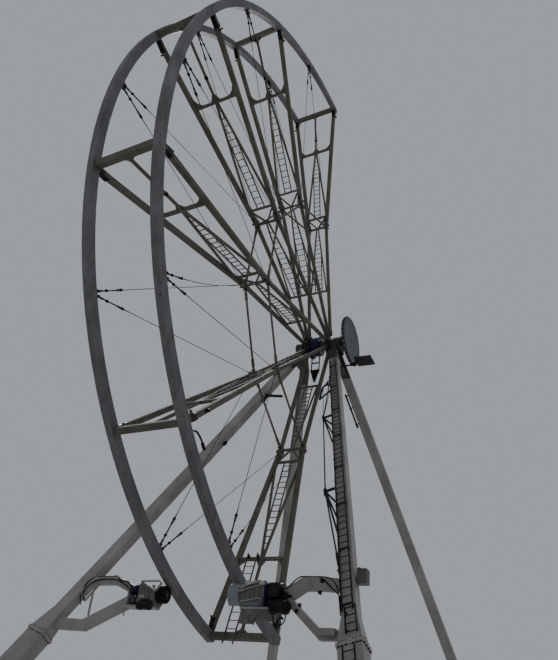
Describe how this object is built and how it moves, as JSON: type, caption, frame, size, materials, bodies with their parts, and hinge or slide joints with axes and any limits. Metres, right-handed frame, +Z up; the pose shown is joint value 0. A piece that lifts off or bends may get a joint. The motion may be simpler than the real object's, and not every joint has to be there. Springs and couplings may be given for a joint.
{
  "type": "observation wheel",
  "caption": "Part-built fairground observation wheel: twin box rims on lattice spokes and wire stays, a four-legged tower and two tyre drives.",
  "frame": {"origin": "middle of the bounding box's bottom face, on the ground", "axes": "+Z up; Y along the wheel's axle, the ladder's leg on the -Y side; X across the wheel, the built part of the rim on the -X side"},
  "size_m": [25.461, 12.866, 33.1868],
  "materials": {
    "steel": "semi-gloss off-white paint",
    "dark_metal": "dark paint",
    "blue_paint": "dark blue gloss paint",
    "grey_paint": "mid-grey paint",
    "tyre": "black rubber",
    "wire_rope": "dull galvanised steel"
  },
  "bodies": {
    "tower": {"axle": "dark_metal", "drive_arm_far": "steel", "drive_arm_near": "steel", "flood_panel": "dark_metal", "gearbox_far": "grey_paint", "gearbox_near": "grey_paint", "head_far": "steel", "head_near": "steel", "hub_disc": "grey_paint", "leg_far_left": "steel", "leg_far_right": "steel", "leg_ladder": "dark_metal", "leg_near_left": "steel", "leg_near_right": "steel", "motors_far": "blue_paint", "motors_near": "blue_paint", "speaker_box": "grey_paint", "truss_rod": "dark_metal"},
    "wheel": {"hub": "dark_metal", "hub_drum": "blue_paint", "rim_far_ae": "steel", "rim_far_ba": "steel", "rim_far_cb": "steel", "rim_far_dc": "steel", "rim_far_ef": "steel", "rim_near_ae": "steel", "rim_near_ba": "steel", "rim_near_cb": "steel", "rim_near_dc": "steel", "rim_near_ef": "steel", "ring_strut_far_ae": "steel", "ring_strut_far_ba": "steel", "ring_strut_far_cb": "steel", "ring_strut_far_dc": "steel", "ring_strut_far_ef": "steel", "ring_strut_near_ae": "steel", "ring_strut_near_ba": "steel", "ring_strut_near_cb": "steel", "ring_strut_near_dc": "steel", "ring_strut_near_ef": "steel", "spoke_a": "steel", "spoke_b": "steel", "spoke_c": "steel", "spoke_d": "steel", "spoke_e": "steel", "spoke_f": "steel", "stays_far_ae": "wire_rope", "stays_far_ba": "wire_rope", "stays_far_cb": "wire_rope", "stays_far_dc": "wire_rope", "stays_far_ef": "wire_rope", "stays_near_ae": "wire_rope", "stays_near_ba": "wire_rope", "stays_near_cb": "wire_rope", "stays_near_dc": "wire_rope", "stays_near_ef": "wire_rope"},
    "tyre_near": {"drive_tyre_near": "tyre"},
    "tyre_far": {"drive_tyre_far": "tyre"}
  },
  "joints": [
    {"name": "wheel_spin", "type": "hinge", "parent": "tower", "child": "wheel", "pos_m": [2.4195, 0, 18.364], "axis": [0, 1, 0], "continuous": true},
    {"name": "tyre_near_spin", "type": "hinge", "parent": "tower", "child": "tyre_near", "pos_m": [-4.76528, -1.28, 4.73685], "axis": [0, 1, 0], "continuous": true},
    {"name": "tyre_far_spin", "type": "hinge", "parent": "tower", "child": "tyre_far", "pos_m": [-4.76528, 1.28, 4.73685], "axis": [0, 1, 0], "continuous": true}
  ],
  "couplings": [
    {"joint": "tyre_near_spin", "follows": "wheel_spin", "ratio": -60.6},
    {"joint": "tyre_far_spin", "follows": "wheel_spin", "ratio": -60.6}
  ]
}
